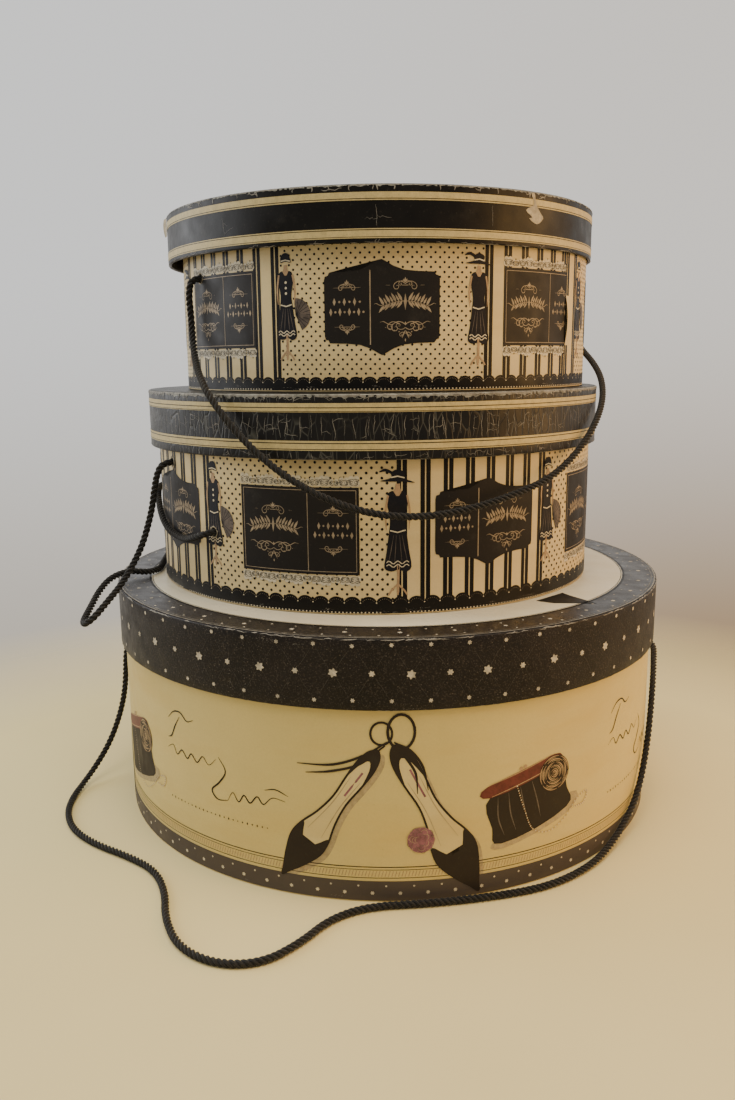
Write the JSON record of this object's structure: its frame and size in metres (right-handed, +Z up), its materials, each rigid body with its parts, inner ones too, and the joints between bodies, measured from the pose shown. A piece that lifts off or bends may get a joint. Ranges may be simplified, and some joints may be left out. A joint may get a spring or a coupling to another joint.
{
  "type": "hat box stack",
  "caption": "Stack of round paperboard hat boxes with lift-off lids, printed cover papers and twisted cord handles.",
  "frame": {"origin": "centre of the bottom box's underside, on the surface it stands on", "axes": "+Z up the stack, +X to the right seen from the front, front of the stack towards -Y"},
  "size_m": [0.421, 0.4385, 0.397],
  "materials": {
    "greyboard": "matte",
    "cream_print": "satin varnished print",
    "lining_paper": "matte",
    "underside_paper": "matte",
    "twisted_cord": "satin twisted",
    "black_speckled_print": "satin varnished print",
    "striped_print": "satin varnished print",
    "banded_print": "cracked satin varnish",
    "plain_black_print": "satin varnished print"
  },
  "bodies": {
    "bottom_box": {"bottom_wall_board": "greyboard", "bottom_base_board": "greyboard", "bottom_wall_paper": "cream_print", "bottom_wall_lining": "lining_paper", "bottom_base_lining": "lining_paper", "bottom_base_paper": "underside_paper", "bottom_cord": "twisted_cord", "bottom_cord_knots": "twisted_cord"},
    "bottom_lid": {"bottom_lid_rim_board": "greyboard", "bottom_lid_disc_board": "greyboard", "bottom_lid_rim_paper": "black_speckled_print", "bottom_lid_top_paper": "black_speckled_print", "bottom_lid_lining": "lining_paper"},
    "middle_box": {"middle_wall_board": "greyboard", "middle_base_board": "greyboard", "middle_wall_paper": "striped_print", "middle_wall_lining": "lining_paper", "middle_base_lining": "lining_paper", "middle_base_paper": "underside_paper", "middle_cord": "twisted_cord", "middle_cord_knots": "twisted_cord"},
    "middle_lid": {"middle_lid_rim_board": "greyboard", "middle_lid_disc_board": "greyboard", "middle_lid_rim_paper": "banded_print", "middle_lid_top_paper": "plain_black_print", "middle_lid_lining": "lining_paper"},
    "top_box": {"top_wall_board": "greyboard", "top_base_board": "greyboard", "top_wall_paper": "striped_print", "top_wall_lining": "lining_paper", "top_base_lining": "lining_paper", "top_base_paper": "underside_paper", "top_cord": "twisted_cord", "top_cord_knots": "twisted_cord"},
    "top_lid": {"top_lid_rim_board": "greyboard", "top_lid_disc_board": "greyboard", "top_lid_rim_paper": "banded_print", "top_lid_top_paper": "plain_black_print", "top_lid_lining": "lining_paper"}
  },
  "joints": [
    {"name": "bottom_lid_lift", "type": "slide", "parent": "bottom_box", "child": "bottom_lid", "axis": [0, 0, 1], "range_m": [0, 0.2]},
    {"name": "middle_box_lift", "type": "slide", "parent": "bottom_lid", "child": "middle_box", "axis": [0, 0, 1], "range_m": [0, 0.06]},
    {"name": "middle_lid_lift", "type": "slide", "parent": "middle_box", "child": "middle_lid", "axis": [0, 0, 1], "range_m": [0, 0.165]},
    {"name": "top_box_lift", "type": "slide", "parent": "middle_lid", "child": "top_box", "axis": [0, 0, 1], "range_m": [0, 0.06]},
    {"name": "top_lid_lift", "type": "slide", "parent": "top_box", "child": "top_lid", "axis": [0, 0, 1], "range_m": [0, 0.15]}
  ]
}
